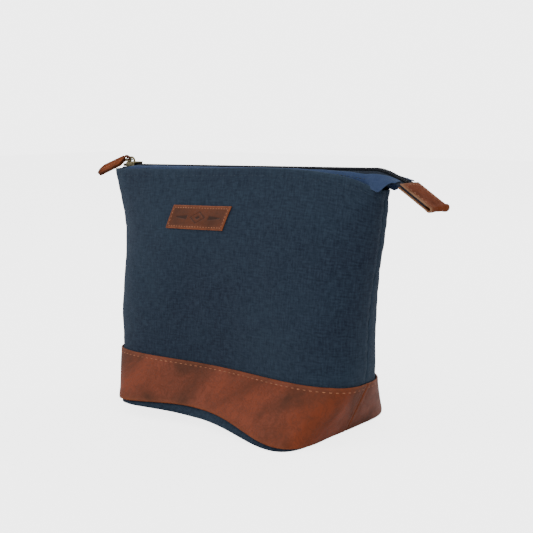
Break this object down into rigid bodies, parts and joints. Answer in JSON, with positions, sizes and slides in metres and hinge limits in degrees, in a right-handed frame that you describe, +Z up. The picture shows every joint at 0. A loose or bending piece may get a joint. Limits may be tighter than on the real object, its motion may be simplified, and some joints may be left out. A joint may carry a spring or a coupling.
{
  "type": "shaving kit bag",
  "caption": "Zipped canvas wash bag with a leather band round its foot, boxed corners, folded zip gussets, a leather zip pull, a leather tail tab and a leather patch.",
  "frame": {"origin": "on the flat underside of the base, below the middle of the rim", "axes": "+X along the zip towards its tail tab, -Y out of the front with the patch, +Z up"},
  "size_m": [0.3157, 0.1296, 0.1897],
  "materials": {
    "canvas": "washed navy cotton twill canvas",
    "gusset_canvas": "brighter blue cotton twill",
    "lining": "dark woven nylon",
    "band_leather": "waxed cognac leather",
    "trim_leather": "waxed cognac leather, stitched",
    "zip_tape": "dark navy woven tape",
    "zip_coil": "dark navy nylon coil",
    "aged_brass": "antique brass"
  },
  "bodies": {
    "bag_base": {"base_canvas_panel": "canvas", "base_lining": "lining", "front_leather_band": "band_leather", "back_leather_band": "band_leather"},
    "front_mouth": {"front_canvas_panel": "canvas", "front_lining": "lining", "front_zip_gusset": "gusset_canvas", "front_zip_tape": "zip_tape", "front_zip_coil": "zip_coil", "front_zip_top_stop": "aged_brass", "name_patch": "trim_leather"},
    "back_mouth": {"back_canvas_panel": "canvas", "back_lining": "lining", "back_zip_gusset": "gusset_canvas", "back_zip_tape": "zip_tape", "back_zip_coil": "zip_coil", "back_zip_top_stop": "aged_brass"},
    "zip_slider": {"slider_body": "aged_brass"},
    "slider_ring": {"pull_ring": "aged_brass"},
    "zip_pull": {"leather_pull": "trim_leather"},
    "zip_tail": {"tail_tab": "trim_leather"}
  },
  "joints": [
    {"name": "slider_travel", "type": "slide", "parent": "bag_base", "child": "zip_slider", "axis": [0.9998, 0, 0.0182], "range_m": [0, 0.212], "deforming": ["leather_pull"]},
    {"name": "front_mouth_opening", "type": "hinge", "parent": "bag_base", "child": "front_mouth", "pos_m": [0, -0.025, 0.0365], "axis": [1, 0, 0], "range_deg": [0, 12.2], "deforming": ["front_zip_tape", "front_zip_coil", "front_lining"]},
    {"name": "back_mouth_opening", "type": "hinge", "parent": "bag_base", "child": "back_mouth", "pos_m": [0, 0.025, 0.0365], "axis": [-1, 0, 0], "range_deg": [0, 12.2], "deforming": ["back_zip_tape", "back_zip_coil", "back_lining"]},
    {"name": "ring_swing", "type": "hinge", "parent": "zip_slider", "child": "slider_ring", "pos_m": [-0.1111, 0, 0.18593], "axis": [0, 1, 0], "range_deg": [0, 138]},
    {"name": "pull_swing", "type": "hinge", "parent": "slider_ring", "child": "zip_pull", "pos_m": [-0.11703, 0, 0.18686], "axis": [-0.2293, 0.7431, 0.6286], "range_deg": [0, 40]},
    {"name": "tail_flex", "type": "hinge", "parent": "bag_base", "child": "zip_tail", "pos_m": [0.1415, 0, 0.1764], "axis": [0, 1, 0], "range_deg": [-45, 40], "stiffness_Nm_per_rad": 0.02}
  ],
  "couplings": [
    {"joint": "front_mouth_opening", "follows": "slider_travel", "rad_per_m": 1},
    {"joint": "back_mouth_opening", "follows": "slider_travel", "rad_per_m": 1}
  ]
}
